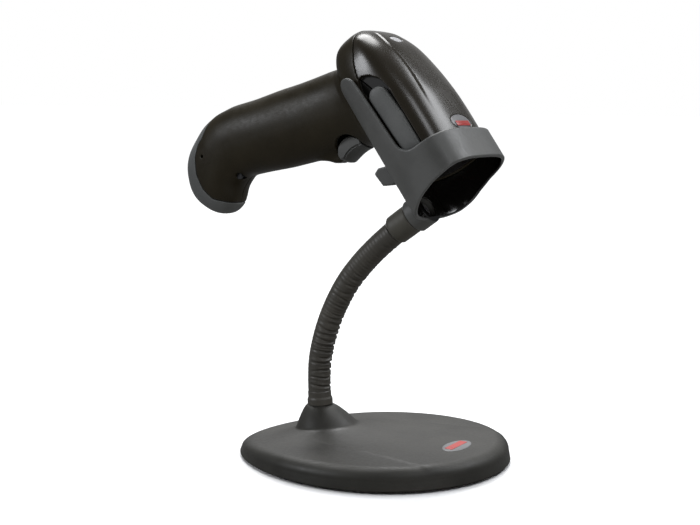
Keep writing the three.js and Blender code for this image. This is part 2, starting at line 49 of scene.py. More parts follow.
# ------------------------------------------------------------------ camera
cam_data = bpy.data.cameras.new("camera")
cam = bpy.data.objects.new("camera", cam_data)
scene.collection.objects.link(cam)
cam.location = (0.4445, -0.7896, 0.241)
cam.rotation_euler = tuple(math.radians(a) for a in (82.5, 0, 30.2))
cam_data.lens = 77.14
cam_data.sensor_width = 36
cam_data.clip_start = 0.01
cam_data.clip_end = 50
scene.camera = cam

# ------------------------------------------------------------------ the tilted frame of scanner and cup
TILT, TWIST = math.radians(54.4), math.radians(-2)
PIVOT = np.array([23.3, 0, 0])
HEAD_AT = np.array([47.3, 0, 192.8])


def rot_y(a):
    return np.array([[math.cos(a), 0, math.sin(a)], [0, 1, 0], [-math.sin(a), 0, math.cos(a)]])


def rot_z(a):
    return np.array([[math.cos(a), -math.sin(a), 0], [math.sin(a), math.cos(a), 0], [0, 0, 1]])


TURN = rot_y(TILT) @ rot_z(TWIST)
SHIFT = rot_y(TILT) @ PIVOT + HEAD_AT - TURN @ PIVOT


def to_row(p):
    """Millimetres in the tilted frame to metres in the row frame."""
    return (np.asarray(p, float) @ TURN.T + SHIFT) * 0.001


# ------------------------------------------------------------------ distance fields
def rmax(a, b, r):
    """Intersection with a rounded outer edge."""
    u, v = np.maximum(r + a, 0), np.maximum(r + b, 0)
    return np.minimum(np.maximum(a, b), -r) + np.sqrt(u * u + v * v)


def rmin(a, b, r):
    """Union with a filleted inner corner."""
    u, v = np.maximum(r - a, 0), np.maximum(r - b, 0)
    return np.maximum(np.minimum(a, b), r) - np.sqrt(u * u + v * v)


def step(a, b, x):
    t = np.clip((x - a) / (b - a), 0, 1)
    return t * t * (3 - 2 * t)


def unit(fun, e=0.06):
    """Turns an implicit function into a near distance."""

    def d(x, y, z):
        v = fun(x, y, z)
        gx, gy, gz = fun(x + e, y, z) - v, fun(x, y + e, z) - v, fun(x, y, z + e) - v
        return v * e / np.maximum(np.sqrt(gx * gx + gy * gy + gz * gz), 1e-9)

    return d


def pchip(x, y, xi):
    x, y = np.asarray(x, float), np.asarray(y, float)
    h, dl = np.diff(x), np.diff(y) / np.diff(x)
    m = np.zeros_like(y)
    m[0], m[-1] = dl[0], dl[-1]
    for i in range(1, len(x) - 1):
        if dl[i - 1] * dl[i] > 0:
            w1, w2 = 2 * h[i] + h[i - 1], h[i] + 2 * h[i - 1]
            m[i] = (w1 + w2) / (w1 / dl[i - 1] + w2 / dl[i])
    k = np.clip(np.searchsorted(x, xi) - 1, 0, len(x) - 2)
    t = (xi - x[k]) / h[k]
    return y[k] * (1 + 2 * t) * (1 - t) ** 2 + m[k] * h[k] * t * (1 - t) ** 2 + y[k + 1] * t * t * (3 - 2 * t) + m[k + 1] * h[k] * t * t * (t - 1)


def blur(v, sigma):
    """Gaussian smoothing of a table along its first axis, with mirrored ends."""
    n = max(1, int(3 * sigma))
    k = np.exp(-0.5 * (np.arange(-n, n + 1) / sigma) ** 2)
    k /= k.sum()
    v = np.asarray(v, float)
    lo, hi = 2 * v[:1] - v[1 : n + 1][::-1], 2 * v[-1:] - v[-n - 1 : -1][::-1]
    p = np.concatenate([lo, v, hi])
    return sum(k[i] * p[i : i + len(v)] for i in range(2 * n + 1))


class Table2:
    """A function of x and z, read from a grid."""

    def __init__(self, fun, x0, x1, z0, z1, h=0.3, soft=0):
        self.x0, self.z0, self.h = x0, z0, h
        gx, gz = np.arange(x0, x1 + h, h), np.arange(z0, z1 + h, h)
        X, Z = np.meshgrid(gx, gz, indexing="ij")
        self.v = fun(X, Z)
        if soft:
            self.v = blur(blur(self.v, soft / h).T, soft / h).T

    def __call__(self, x, z):
        a = np.clip((x - self.x0) / self.h, 0, self.v.shape[0] - 1.001)
        b = np.clip((z - self.z0) / self.h, 0, self.v.shape[1] - 1.001)
        i, j = a.astype(int), b.astype(int)
        a, b = a - i, b - j
        v = self.v
        return (v[i, j] * (1 - a) + v[i + 1, j] * a) * (1 - b) + (v[i, j + 1] * (1 - a) + v[i + 1, j + 1] * a) * b


def polygon(pts):
    """Signed distance to a closed outline in x and z."""
    P = np.asarray(pts, float)

    def d(x, z):
        best = np.full(np.shape(x), 1e9)
        sign = np.ones(np.shape(x))
        j = len(P) - 1
        for i in range(len(P)):
            ex, ez = P[j] - P[i]
            wx, wz = x - P[i][0], z - P[i][1]
            t = np.clip((wx * ex + wz * ez) / (ex * ex + ez * ez), 0, 1)
            bx, bz = wx - ex * t, wz - ez * t
            best = np.minimum(best, bx * bx + bz * bz)
            c1, c2, c3 = z >= P[i][1], z < P[j][1], ex * wz > ez * wx
            flip = (c1 & c2 & c3) | (~c1 & ~c2 & ~c3)
            sign = np.where(flip, -sign, sign)
            j = i
        return sign * np.sqrt(best)

    return d


def arc(cx, cz, r, a0, a1, n):
    return [(cx + r * math.cos(math.radians(a0 + (a1 - a0) * i / n)), cz + r * math.sin(math.radians(a0 + (a1 - a0) * i / n))) for i in range(n + 1)]


EDGES = [(a, b) for a in range(8) for b in range(8) if a < b and bin(a ^ b).count("1") == 1]


def surface(f, lo, hi, h, project=2):
    """Closed quad mesh of the zero level of f, evaluated only near it. Returns points, quads and unit normals."""
    lo, hi = np.array(lo, float), np.array(hi, float)
    B = 6
    n = np.ceil((hi - lo) / (h * B)).astype(int)
    N = n * B + 1
    c = [lo[k] + (np.arange(n[k]) + 0.5) * B * h for k in range(3)]
    X, Y, Z = np.meshgrid(*c, indexing="ij")
    v = f(X.ravel(), Y.ravel(), Z.ravel()).reshape(tuple(n))
    keep = np.argwhere(np.abs(v) < B * h * 1.45 + 0.6)
    G = np.where(v > 0, 1e3, -1e3).astype(np.float32)
    for k in range(3):
        G = np.repeat(G, B, axis=k)
    G = np.pad(G, [(0, 1)] * 3, mode="edge")
    o = np.arange(B + 1)
    ox, oy, oz = [q.ravel() for q in np.meshgrid(o, o, o, indexing="ij")]
    for s in range(0, len(keep), 4000):
        part = keep[s : s + 4000]
        ix = (part[:, 0, None] * B + ox).ravel()
        iy = (part[:, 1, None] * B + oy).ravel()
        iz = (part[:, 2, None] * B + oz).ravel()
        G[ix, iy, iz] = f(lo[0] + ix * h, lo[1] + iy * h, lo[2] + iz * h)
    S = G < 0
    cnt = np.zeros(tuple(N - 1), np.int8)
    for dx in (0, 1):
        for dy in (0, 1):
            for dz in (0, 1):
                cnt += S[dx : N[0] - 1 + dx, dy : N[1] - 1 + dy, dz : N[2] - 1 + dz]
    cells = np.argwhere((cnt > 0) & (cnt < 8))
    corner = np.array([[b & 1, (b >> 1) & 1, (b >> 2) & 1] for b in range(8)])
    vals = np.stack([G[cells[:, 0] + k[0], cells[:, 1] + k[1], cells[:, 2] + k[2]] for k in corner], 1)
    P, M = np.zeros((len(cells), 3)), np.zeros(len(cells))
    for a, b in EDGES:
        va, vb = vals[:, a], vals[:, b]
        m = (va < 0) != (vb < 0)
        t = np.where(m, va / np.where(m, va - vb, 1), 0)[:, None]
        P += np.where(m[:, None], corner[a] + (corner[b] - corner[a]) * t, 0)
        M += m
    P = lo + (cells + P / M[:, None]) * h
    index = np.full(tuple(N - 1), -1, np.int32)
    index[tuple(cells.T)] = np.arange(len(cells))
    quads = []
    for ax in range(3):
        u, w = [(1, 2), (2, 0), (0, 1)][ax]
        a = [slice(None)] * 3
        b = [slice(None)] * 3
        a[ax], b[ax] = slice(0, N[ax] - 1), slice(1, N[ax])
        cross = S[tuple(a)] != S[tuple(b)]
        e = np.argwhere(cross)
        e = e[(e[:, u] > 0) & (e[:, w] > 0) & (e[:, u] < N[u] - 1) & (e[:, w] < N[w] - 1)]
        inside = S[tuple(e.T)]
        q = []
        for du, dw in ((1, 1), (0, 1), (0, 0), (1, 0)):
            k = e.copy()
            k[:, u] -= du
            k[:, w] -= dw
            q.append(index[tuple(k.T)])
        q = np.stack(q, 1)
        q = np.where(inside[:, None], q, q[:, ::-1])
        quads.append(q)
    Q = np.concatenate(quads)
    Q = Q[(Q >= 0).all(1)]

    def grad(p, e=0.04):
        x, y, z = p.T
        return np.stack([f(x + e, y, z) - f(x - e, y, z), f(x, y + e, z) - f(x, y - e, z), f(x, y, z + e) - f(x, y, z - e)], 1) / (2 * e)

    for _ in range(project):
        g = grad(P)
        g2 = (g * g).sum(1)
        move = -(f(*P.T) / np.maximum(g2, 0.15))[:, None] * g
        length = np.linalg.norm(move, axis=1, keepdims=True)
        P = P + move * np.minimum(1, 0.45 * h / np.maximum(length, 1e-9))
    g = grad(P, 0.12)
    return P, Q, g / np.maximum(np.linalg.norm(g, axis=1, keepdims=True), 1e-9)


# ------------------------------------------------------------------ mesh objects
def make(name, P, F, body, replaces=(), normals=None, local=True, wear=True, keep=1.0):
    """A mesh object from points in millimetres, and its faces."""
    P = np.asarray(P, float)
    W = to_row(P) if local else P * 0.001
    me = bpy.data.meshes.new(name)
    if isinstance(F, np.ndarray):
        me.vertices.add(len(W))
        me.vertices.foreach_set("co", W.astype(np.float32).ravel())
        me.loops.add(F.size)
        me.loops.foreach_set("vertex_index", F.astype(np.int32).ravel())
        me.polygons.add(len(F))
        me.polygons.foreach_set("loop_start", np.arange(len(F), dtype=np.int32) * F.shape[1])
        me.polygons.foreach_set("use_smooth", np.ones(len(F), bool))
        me.update(calc_edges=True)
        me.validate()
    else:
        me.from_pydata(W.tolist(), [], [list(map(int, f)) for f in F])
        me.polygons.foreach_set("use_smooth", np.ones(len(me.polygons), bool))
        me.update()
    ob = bpy.data.objects.new(name, me)
    scene.collection.objects.link(ob)
    if keep < 1:
        mod = ob.modifiers.new("thin", "DECIMATE")
        mod.ratio = keep
        bpy.context.view_layer.objects.active = ob
        ob.select_set(True)
        bpy.ops.object.modifier_apply(modifier="thin")
        ob.select_set(False)
        me = ob.data
        me.polygons.foreach_set("use_smooth", np.ones(len(me.polygons), bool))
    if wear:
        me = ob.data
        nv = len(me.vertices)
        co = np.empty(nv * 3, np.float32)
        me.vertices.foreach_get("co", co)
        co = co.reshape(-1, 3)
        no = np.empty(nv * 3, np.float32)
        me.vertices.foreach_get("normal", no)
        no = no.reshape(-1, 3)
        ed = np.empty(len(me.edges) * 2, np.int32)
        me.edges.foreach_get("vertices", ed)
        ed = ed.reshape(-1, 2)
        d = co[ed[:, 1]] - co[ed[:, 0]]
        L2 = np.maximum((d * d).sum(1), 1e-12)
        curve = ((no[ed[:, 1]] - no[ed[:, 0]]) * d).sum(1) / L2  # 1/m, positive where convex
        s, c = np.zeros(nv), np.zeros(nv)
        for k in (0, 1):
            np.add.at(s, ed[:, k], curve)
            np.add.at(c, ed[:, k], 1)
        s = s / np.maximum(c, 1)
        for _ in range(3):
            t, c = s.copy(), np.ones(nv)
            for k in (0, 1):
                np.add.at(t, ed[:, k], s[ed[:, 1 - k]])
                np.add.at(c, ed[:, k], 1)
            s = t / c
        at = me.attributes.new("wear", "FLOAT", "POINT")
        at.data.foreach_set("value", np.clip(s / 900, -1, 1).astype(np.float32))
    if normals is not None and keep >= 1:
        nn = normals @ TURN.T if local else normals
        me.normals_split_custom_set_from_vertices(nn.astype(float).tolist())
    if replaces:
        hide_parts(*replaces)
    if body:
        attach(ob, body)
    return ob


def field(name, f, lo, hi, h, body, replaces=(), keep=1.0, painted_shade=None):
    P, Q, nn = surface(f, lo, hi, h)
    ob = make(name, P, Q, body, replaces, nn, keep=keep)
    # painted shade: an optional mask, stored per vertex, darkens the surface in the material
    if painted_shade is not None and len(ob.data.vertices) == len(P):
        at = ob.data.attributes.new("painted_shade", "FLOAT", "POINT")
        at.data.foreach_set("value", painted_shade(*P.T).astype(np.float32))
    return ob


def lathe(profile, n=64, close=True):
    """Points and faces of a turned shape: profile is [(radius, height), ...], about z."""
    m = len(profile)
    a = np.linspace(0, 2 * math.pi, n, endpoint=False)
    P = [(r * math.cos(t), r * math.sin(t), z) for t in a for r, z in profile]
    F = []
    for i in range(n):
        j = (i + 1) % n
        for k in range(m - (0 if close else 1)):
            l = (k + 1) % m
            F.append((i * m + k, j * m + k, j * m + l, i * m + l))
    return np.array(P), np.array(F)


# ------------------------------------------------------------------ materials
def node(nt, kind, **kw):
    n = nt.nodes.new(kind)
    for k, v in kw.items():
        if k == "ins":
            for s, val in v.items():
                n.inputs[s].default_value = val
        else:
            setattr(n, k, v)
    return n


def link(nt, a, b):
    nt.links.new(a, b)


def ramp(nt, src, stops):
    r = nt.nodes.new("ShaderNodeMapRange")
    r.inputs["From Min"].default_value, r.inputs["From Max"].default_value = stops[0], stops[1]
    r.inputs["To Min"].default_value, r.inputs["To Max"].default_value = stops[2], stops[3]
    link(nt, src, r.inputs["Value"])
    return r.outputs["Result"]


def maths(nt, op, a, b=None, clamp=False):
    m = nt.nodes.new("ShaderNodeMath")
    m.operation, m.use_clamp = op, clamp
    for s, v in zip((0, 1), (a, b)):
        if v is None:
            continue
        if isinstance(v, (int, float)):
            m.inputs[s].default_value = v
        else:
            link(nt, v, m.inputs[s])
    return m.outputs[0]


def mix(nt, fac, a, b):
    m = nt.nodes.new("ShaderNodeMix")
    m.data_type = "RGBA"
    for s, v in (("Factor", fac), ("A", a), ("B", b)):
        i = [q for q in m.inputs if q.name == s and (q.type == "RGBA" or s == "Factor")][0]
        if isinstance(v, (int, float)):
            i.default_value = v
        elif isinstance(v, tuple):
            i.default_value = (*v, 1) if len(v) == 3 else v
        else:
            link(nt, v, i)
    return [q for q in m.outputs if q.type == "RGBA"][0]


def moulded(name, colour, rough=0.45, grain=1900, bump=0.25, vary=0.18, rough_vary=0.08, worn=(0.5, 0.5, 0.5), wear=0.25, dust=0.0, specular=0.5, metallic=0.0, stretch=None, coat=0.0, coat_rough=0.2, cloud=38, sheen=0.0, painted_shade_rough=0.6, speckle=0.35):
    """Injection-moulded plastic or rubber: spark-eroded grain, faint flow clouds, rubbed edges, dust in the corners,
    and painted shade (near black, with its own roughness) where the mesh carries the painted-shade attribute.
    """
    m = bpy.data.materials.new(name)
    m.use_nodes = True
    nt = m.node_tree
    bs = nt.nodes["Principled BSDF"]
    tc = node(nt, "ShaderNodeTexCoord")
    src = tc.outputs["Object"]
    if stretch:
        mp = node(nt, "ShaderNodeMapping")
        mp.inputs["Scale"].default_value = stretch
        link(nt, src, mp.inputs["Vector"])
        fine_src = mp.outputs["Vector"]
    else:
        fine_src = src
    big = node(nt, "ShaderNodeTexNoise", ins={"Scale": cloud, "Detail": 3.0, "Roughness": 0.55})
    link(nt, src, big.inputs["Vector"])
    mid = node(nt, "ShaderNodeTexNoise", ins={"Scale": 420.0, "Detail": 2.0, "Roughness": 0.6})
    link(nt, src, mid.inputs["Vector"])
    fine = node(nt, "ShaderNodeTexNoise", ins={"Scale": float(grain), "Detail": 2.0, "Roughness": 0.65})
    link(nt, fine_src, fine.inputs["Vector"])
    dark = tuple(c * (1 - vary) for c in colour)
    light = tuple(c * (1 + vary) for c in colour)
    tone = ramp(nt, big.outputs["Fac"], (0.35, 0.65, 0.0, 1.0))
    base = mix(nt, tone, dark, light)
    speck = ramp(nt, fine.outputs["Fac"], (0.42, 0.62, 0.0, speckle))
    base = mix(nt, speck, base, light)
    at = node(nt, "ShaderNodeAttribute", attribute_name="wear")
    rub = ramp(nt, at.outputs["Fac"], (0.12, 0.9, 0.0, 1.0))
    rub = maths(nt, "MULTIPLY", rub, ramp(nt, mid.outputs["Fac"], (0.35, 0.7, 0.25, 1.0)), True)
    rub = maths(nt, "MULTIPLY", rub, wear, True)
    base = mix(nt, rub, base, worn)
    if dust:
        inside = ramp(nt, at.outputs["Fac"], (-0.1, -0.7, 0.0, dust))
        base = mix(nt, inside, base, (0.2, 0.19, 0.17))
    # painted shade: near black (0.005, 0.0045, 0.0038) where the painted-shade attribute is set, on recess floors and
    # in the cup's bore; its roughness is set apart below
    painted_shade_fac = node(nt, "ShaderNodeAttribute", attribute_name="painted_shade").outputs["Fac"]
    base = mix(nt, painted_shade_fac, base, (0.005, 0.0045, 0.0038))
    link(nt, base, bs.inputs["Base Color"])
    r = ramp(nt, big.outputs["Fac"], (0.3, 0.7, rough - rough_vary, rough + rough_vary))
    r2 = ramp(nt, mid.outputs["Fac"], (0.3, 0.7, -rough_vary * 0.5, rough_vary * 0.5))
    r = maths(nt, "ADD", r, r2)
    r = maths(nt, "SUBTRACT", r, maths(nt, "MULTIPLY", rub, 0.25), True)
    r = maths(nt, "ADD", r, maths(nt, "MULTIPLY", painted_shade_fac, painted_shade_rough - rough), True)
    link(nt, r, bs.inputs["Roughness"])
    h = maths(nt, "ADD", maths(nt, "MULTIPLY", fine.outputs["Fac"], 1.0), maths(nt, "MULTIPLY", mid.outputs["Fac"], 0.2))
    b = node(nt, "ShaderNodeBump", ins={"Strength": bump, "Distance": 0.00006})
    link(nt, h, b.inputs["Height"])
    link(nt, b.outputs["Normal"], bs.inputs["Normal"])
    bs.inputs["Specular IOR Level"].default_value = specular
    bs.inputs["Metallic"].default_value = metallic
    if coat:
        bs.inputs["Coat Weight"].default_value = coat
        bs.inputs["Coat Roughness"].default_value = coat_rough
    if sheen:
        bs.inputs["Sheen Weight"].default_value = sheen
    return m


MAT = {
    "housing": moulded("housing_plastic", (0.0185, 0.0142, 0.0065), 0.40, 2300, 0.30, worn=(0.06, 0.055, 0.05), wear=0.5, dust=0.12, specular=0.21),
    "cover": moulded("cover_plastic", (0.0185, 0.0142, 0.0075), 0.27, 2600, 0.01, vary=0.06, worn=(0.06, 0.055, 0.05), wear=0.4, rough_vary=0.02, specular=0.5, speckle=0.1),
    "grey": moulded("cup_plastic", (0.082, 0.083, 0.079), 0.48, 2300, 0.26, worn=(0.15, 0.155, 0.155), wear=0.6, dust=0.1, specular=0.5, painted_shade_rough=0.16),
    "pad": moulded("bumper_rubber", (0.105, 0.108, 0.105), 0.52, 1700, 0.35, worn=(0.13, 0.13, 0.13), wear=0.5, dust=0.15, specular=0.4),
    "neck": moulded("neck_vinyl", (0.058, 0.053, 0.043), 0.5, 1700, 0.35, worn=(0.07, 0.068, 0.065), wear=0.5, dust=0.25, specular=0.5),
    "fitting": moulded("fitting_plastic", (0.066, 0.062, 0.049), 0.5, 2000, 0.3, worn=(0.08, 0.08, 0.08), wear=0.5, dust=0.2),
    "stand": moulded("stand_plastic", (0.0275, 0.0265, 0.0225), 0.47, 2100, 0.28, worn=(0.09, 0.09, 0.09), wear=0.4, dust=0.1, specular=0.33),
    "black": moulded("black_plastic", (0.006, 0.006, 0.006), 0.5, 2000, 0.3, worn=(0.03, 0.03, 0.03), wear=0.4),
    "grip": moulded("black_rubber", (0.008, 0.008, 0.008), 0.75, 1300, 0.6, worn=(0.03, 0.03, 0.03), wear=0.4, dust=0.2),
    "dark_steel": moulded("black_zinc", (0.02, 0.02, 0.022), 0.4, 2600, 0.25, metallic=0.6, worn=(0.2, 0.2, 0.2), wear=0.4, vary=0.1),
    "steel": moulded("zinc_steel", (0.42, 0.42, 0.43), 0.32, 2600, 0.25, metallic=1.0, worn=(0.7, 0.7, 0.7), wear=0.5, vary=0.1, stretch=(1, 1, 9)),
    "board": moulded("solder_mask", (0.012, 0.06, 0.03), 0.35, 900, 0.4, coat=0.4, worn=(0.3, 0.25, 0.12), wear=0.4),
    "brass": moulded("brass_turned", (0.5, 0.34, 0.12), 0.28, 2500, 0.2, metallic=1.0, vary=0.08, stretch=(9, 1, 1)),
    "mirror": moulded("mirror_coating", (0.8, 0.82, 0.84), 0.04, 600, 0.01, metallic=1.0, vary=0.02, rough_vary=0.015, wear=0.1),
    "badge": moulded("badge_face", (0.135, 0.135, 0.14), 0.42, 2600, 0.12, worn=(0.16, 0.16, 0.17), wear=0.35),
    "red": moulded("badge_bar", (0.42, 0.022, 0.016), 0.3, 2600, 0.1, vary=0.12, wear=0.2, worn=(0.6, 0.2, 0.2), coat=0.3),
    "lens": moulded("lens_frost", (0.5, 0.5, 0.51), 0.3, 2400, 0.15, vary=0.06, wear=0.1, worn=(0.4, 0.4, 0.4)),
    "window": moulded("window_red", (0.035, 0.003, 0.003), 0.06, 900, 0.01, vary=0.1, rough_vary=0.02, wear=0.1, coat=0.6, coat_rough=0.04),
}


def paint(ob, key):
    ob.data.materials.clear()
    ob.data.materials.append(MAT[key])
    return ob


# ------------------------------------------------------------------ scanner form
HEAD = np.array([
    [-86.2, 5.0, -6.0, -13], [-85.4, 11.5, -2.0, -17], [-83.4, 17.5, 1.8, -21.5], [-79.7, 23.9, 5.4, -25.2], [-72.8, 28.7, 9.4, -28.5], [-64, 31.8, 12.9, -30],
    [-52, 33.8, 15.6, -30.2], [-39, 34.8, 17.7, -30], [-25, 35.3, 19.0, -29], [-11, 35.5, 19.3, -27.6], [0, 35.5, 19.1, -26.8], [9, 35.3, 18.5, -26.2],
])
HANDLE = np.array([
    [-72, -18, -20, -24, 22.3, 2.6], [-79.3, -33, -28, -41.5, 18.4, 2.1], [-84, -48.5, -34.6, -58, 17.2, 2.1], [-87.4, -59, -37.4, -67, 17, 2.1],
    [-92, -71.5, -42, -77.5, 17, 2.2], [-98.2, -91, -48.8, -94.5, 16.8, 2.3], [-104.4, -107, -56, -110, 16.6, 2.4],
    [-107.4, -121, -61.8, -123.5, 16.4, 2.4], [-106.8, -133, -58.4, -133.6, 16.2, 2.4], [-103.4, -143.6, -51, -141.5, 15.8, 2.4],
    [-100.2, -151.6, -50, -149, 14.8, 2.4], [-95.2, -157.6, -54.2, -156.6, 13.4, 2.4], [-87.4, -161.8, -61, -162, 11.4, 2.4], [-80, -163.8, -68.5, -164, 8.6, 2.4],
])
TIP = -9.5
_hx = np.linspace(-86.6, 14, 1007)


def _head_table(col, power):
    x, v = HEAD[:, 0], HEAD[:, col] if col == 1 else HEAD[:, col] - TIP
    xs = np.concatenate([[-86.6], x, [14]])
    vs = np.concatenate([[0.8], np.abs(v), [np.abs(v[-1])]])
    return np.sqrt(np.maximum(blur(pchip(xs, vs**power, _hx), 9), 0.3))


_W, _T, _B = _head_table(1, 2), _head_table(2, 2), _head_table(3, 2)


def head_form(x, y, z):
    xc = np.clip(x, -86.5, 14)
    w, t, b = np.interp(xc, _hx, _W), TIP + np.interp(xc, _hx, _T), TIP - np.interp(xc, _hx, _B)
    mid = TIP + (-4 - TIP) * step(-86.5, -74, xc)
    up = z > mid
    p = np.where(up, 3.1, 2.4)
    hz = np.where(up, np.maximum(t - mid, 0.4), np.maximum(mid - b, 0.4))
    return ((np.abs(y) / w) ** p + (np.abs(z - mid) / hz) ** p) ** (1 / p) - 1


_head_raw = unit(head_form)


def _head_unit(x, y, z):
    """Near the surface a distance; far from it held between simple bounds."""
    return np.maximum(_head_raw(x, y, z), np.maximum(np.abs(y) - 37, np.maximum(z - 21, -32 - z)))


def head(x, y, z):
    return rmax(_head_unit(x, y, z), -86.3 - x, 1.2)


def head_inner(x, y, z):
    """The hollow of the head, closed at the rear."""
    return rmax(_head_unit(x, y, z) + 2.4, -83.8 - x, 1)


def _handle_tables():
    k = np.arange(len(HANDLE))
    mids = (HANDLE[:, :2] + HANDLE[:, 2:4]) / 2
    s = np.concatenate([[0], np.cumsum(np.hypot(*np.diff(mids, axis=0).T))])
    fine = np.linspace(0, s[-1], 900)
    rows = np.stack([blur(np.interp(fine, s, HANDLE[:, c]), 15 if c < 4 else 20) for c in range(6)], 1)
    return rows


_H = _handle_tables()
_hk = np.arange(len(_H), dtype=float)


def _station(X, Z):
    lo, hi = np.zeros(X.shape), np.full(X.shape, len(_H) - 1.0)

    def side(t):
        bx, bz, fx, fz = (np.interp(t, _hk, _H[:, c]) for c in range(4))
        return (fx - bx) * (Z - bz) - (fz - bz) * (X - bx)

    for _ in range(22):
        m = (lo + hi) / 2
        above = side(m) > 0
        hi, lo = np.where(above, m, hi), np.where(above, lo, m)
    return (lo + hi) / 2


_ST = Table2(_station, -118, 2, -172, 4, 0.5)


def handle_form(x, y, z):
    t = _ST(x, z)
    bx, bz, fx, fz, w, sq = (np.interp(t, _hk, _H[:, c]) for c in range(6))
    dx, dz = fx - bx, fz - bz
    c = 2 * ((x - bx) * dx + (z - bz) * dz) / (dx * dx + dz * dz) - 1
    p = np.where(c > 0, sq, 2.35)
    return (np.abs(c) ** p + (np.abs(y) / w) ** p) ** (1 / p) - 1


_handle_unit = unit(handle_form)


def handle(x, y, z):
    d = rmax(_handle_unit(x, y, z), -163.9 - z, 2.2)
    return rmax(d, z + 15, 1)


SEAM = [(-96, 2.9), (-88, 0.9), (-75.7, -2.6), (-63.3, -7.1), (-55.2, -9), (-41.2, -3.8), (19.5, 0.3)]
RECESS = [(5.6, -7.1), (-38.9, -9.7), (-46.9, -11.6), (-53.5, -9.3), (-54.5, -6), (-51.8, -1.2), (-46.5, 3.3), (-39.5, 5.3), (-21.3, 5.9), (5, 6.3)]
BAND = [(-114, -121), (-103, -128), (-97.8, -134.5), (-96.6, -139.5), (-90.7, -145.8), (-80.8, -150.4), (-70.8, -151.6), (-61.7, -149.3), (-54.5, -142.5), (-50, -137.2), (-38, -131.5)]
above_seam = Table2(polygon([*SEAM, (20, 60), (-96, 60)]), -100, 22, -50, 45, 0.3, 0.9)  # negative above the seam
in_recess = Table2(polygon(RECESS), -62, 14, -20, 14, 0.25, 0.6)
in_band = Table2(polygon([*BAND, (-38, -190), (-114, -190)]), -116, -36, -175, -115, 0.3, 0.9)
T_C, T_R = (-30.6, -49.0), 9.0
slot_out = Table2(polygon([*arc(*T_C, T_R + 1.3, 100, 262, 24), (T_C[0] + 30, T_C[1] - 9.2), (T_C[0] + 30, T_C[1] + 9.6)]), -50, 8, -70, -30, 0.3, 0.3)
slot_in = Table2(polygon([(-29, -42), (-29, -35.4), (-32, -32), (-42, -32), (-43.4, -42)]), -50, -20, -50, -25, 0.3, 0.3)




def recess(x, y, z):
    return rmax(in_recess(x, z), 30.9 - np.abs(y), 0.5)


def recess_tray(x, y, z):
    """The material behind the floor of a recess."""
    return rmax(in_recess(x, z) - 1.7, 29.2 - np.abs(y), 0.3)


guard_side = Table2(polygon([(-45, -71), (-41.2, -72.8), (-32.4, -64.8), (-30.4, -61.8), (-30.6, -58), (-45, -57)]), -52, -22, -80, -50, 0.2, 0.25)


def outer(x, y, z):
    d = rmin(head(x, y, z), handle(x, y, z), 4.5)
    d = rmax(d, 1.5 - np.hypot(x + 51.4, z + 138.4), 0.3)
    d = rmax(d, 1.1 - np.hypot(x + 48.8, z + 147.3), 0.3)
    guard = rmax(guard_side(x, z), np.abs(y) - 5.6, 2.4)
    d = rmin(d, guard, 3)
    return rmax(d, -recess(x, y, z), 0.45)


# centre panel of the top: its edge runs forward from the rear of the cover and fades out
def panel_edge(x):
    return 16.5 - 6.0 * step(-60, -84, x) + 4.5 * step(-60, -20, x)


def cover_field(x, y, z):
    d = rmin(head(x, y, z), handle(x, y, z), 4.5)
    up = step(3, 8, z)
    lift = 0.5 * (1 - step(-1.3, 1.3, np.abs(y) - panel_edge(x))) * up * step(-86, -78, x) * (1 - step(-34, -10, x))
    d = d - lift + 0.28
    d = rmax(d, -recess(x, y, z), 0.45)
    inner = np.maximum(head_inner(x, y, z), -recess_tray(x, y, z))
    d = rmax(d, -rmax(inner, x - 60, 0.5), 0.35)
    d = rmax(d, above_seam(x, z) + 0.22, 0.38)
    d = rmax(d, x - 9, 0.5)
    # status lens seat
    lens = np.sqrt(((x + 70.5) / 1.0) ** 2 + (y / 1.9) ** 2) - 3.1
    d = rmax(d, -rmax(lens, 5 - z, 0.2), 0.25)
    # nameplate seat
    plate = (np.sqrt(((x + 5.6) / 5.2) ** 2 + (y / 12) ** 2) - 1) * 6
    return rmax(d, -rmax(plate, 18.2 - z, 0.3), 0.3)


def low_field(side):
    def f(x, y, z):
        d = outer(x, y, z)
        inner = np.minimum(head_inner(x, y, z), rmax(_handle_unit(x, y, z) + 2.3, -161.5 - z, 1))
        inner = np.maximum(inner, -recess_tray(x, y, z))
        d = rmax(d, -inner, 0.35)
        d = rmax(d, -(above_seam(x, z) - 0.18), 0.38)
        d = rmax(d, -(in_band(x, z) - 0.2), 0.38)
        d = rmax(d, x - 9, 0.5)
        slot = np.minimum(rmax(slot_out(x, z), np.abs(y) - 30, 0.5), rmax(slot_in(x, z), np.abs(y) - 5.7, 0.3))
        d = rmax(d, -slot, 0.5)
        screw = np.hypot(x + 63.6, z + 125.8) - 1.9
        pin = np.hypot(x + 87.8, z + 139.6) - 1.0
        if side < 0:
            d = rmax(d, -rmax(screw, y, 0.1), 0.3)
            d = rmax(d, -rmax(pin, y, 0.1), 0.25)
        return rmax(d, 0.12 - side * y, 0.32)

    return f


def bumper_field(x, y, z):
    d = outer(x, y, z) - 0.12
    inner = rmax(_handle_unit(x, y, z) + 2.3, -161.5 - z, 1)
    d = rmax(d, -inner, 0.35)
    d = rmax(d, in_band(x, z) + 0.2, 0.55)
    # the cable opening
    sx, sy = np.abs(x + 77.1) - 6.2, np.abs(y) - 5.2
    hole = rmax(rmax(sx, sy, 1.0), z + 156, 0.2)
    d = rmax(d, -hole, 0.6)
    return d


H = 0.6


def recess_painted_shade(x, y, z):
    """Painted shade: the floors of the side recesses are darkened to near black."""
    return (1 - step(-0.5, 0.5, in_recess(x, z))) * (1 - step(33.9, 34.9, np.abs(y)))


def cup_painted_shade(x, y, z):
    """Painted shade: the bore of the cup's ring is darkened to near black and made polished; the prongs stay grey."""
    return (1 - step(0.3, 0.8, cup_in(x, y, z))) * step(-15, -9, x)
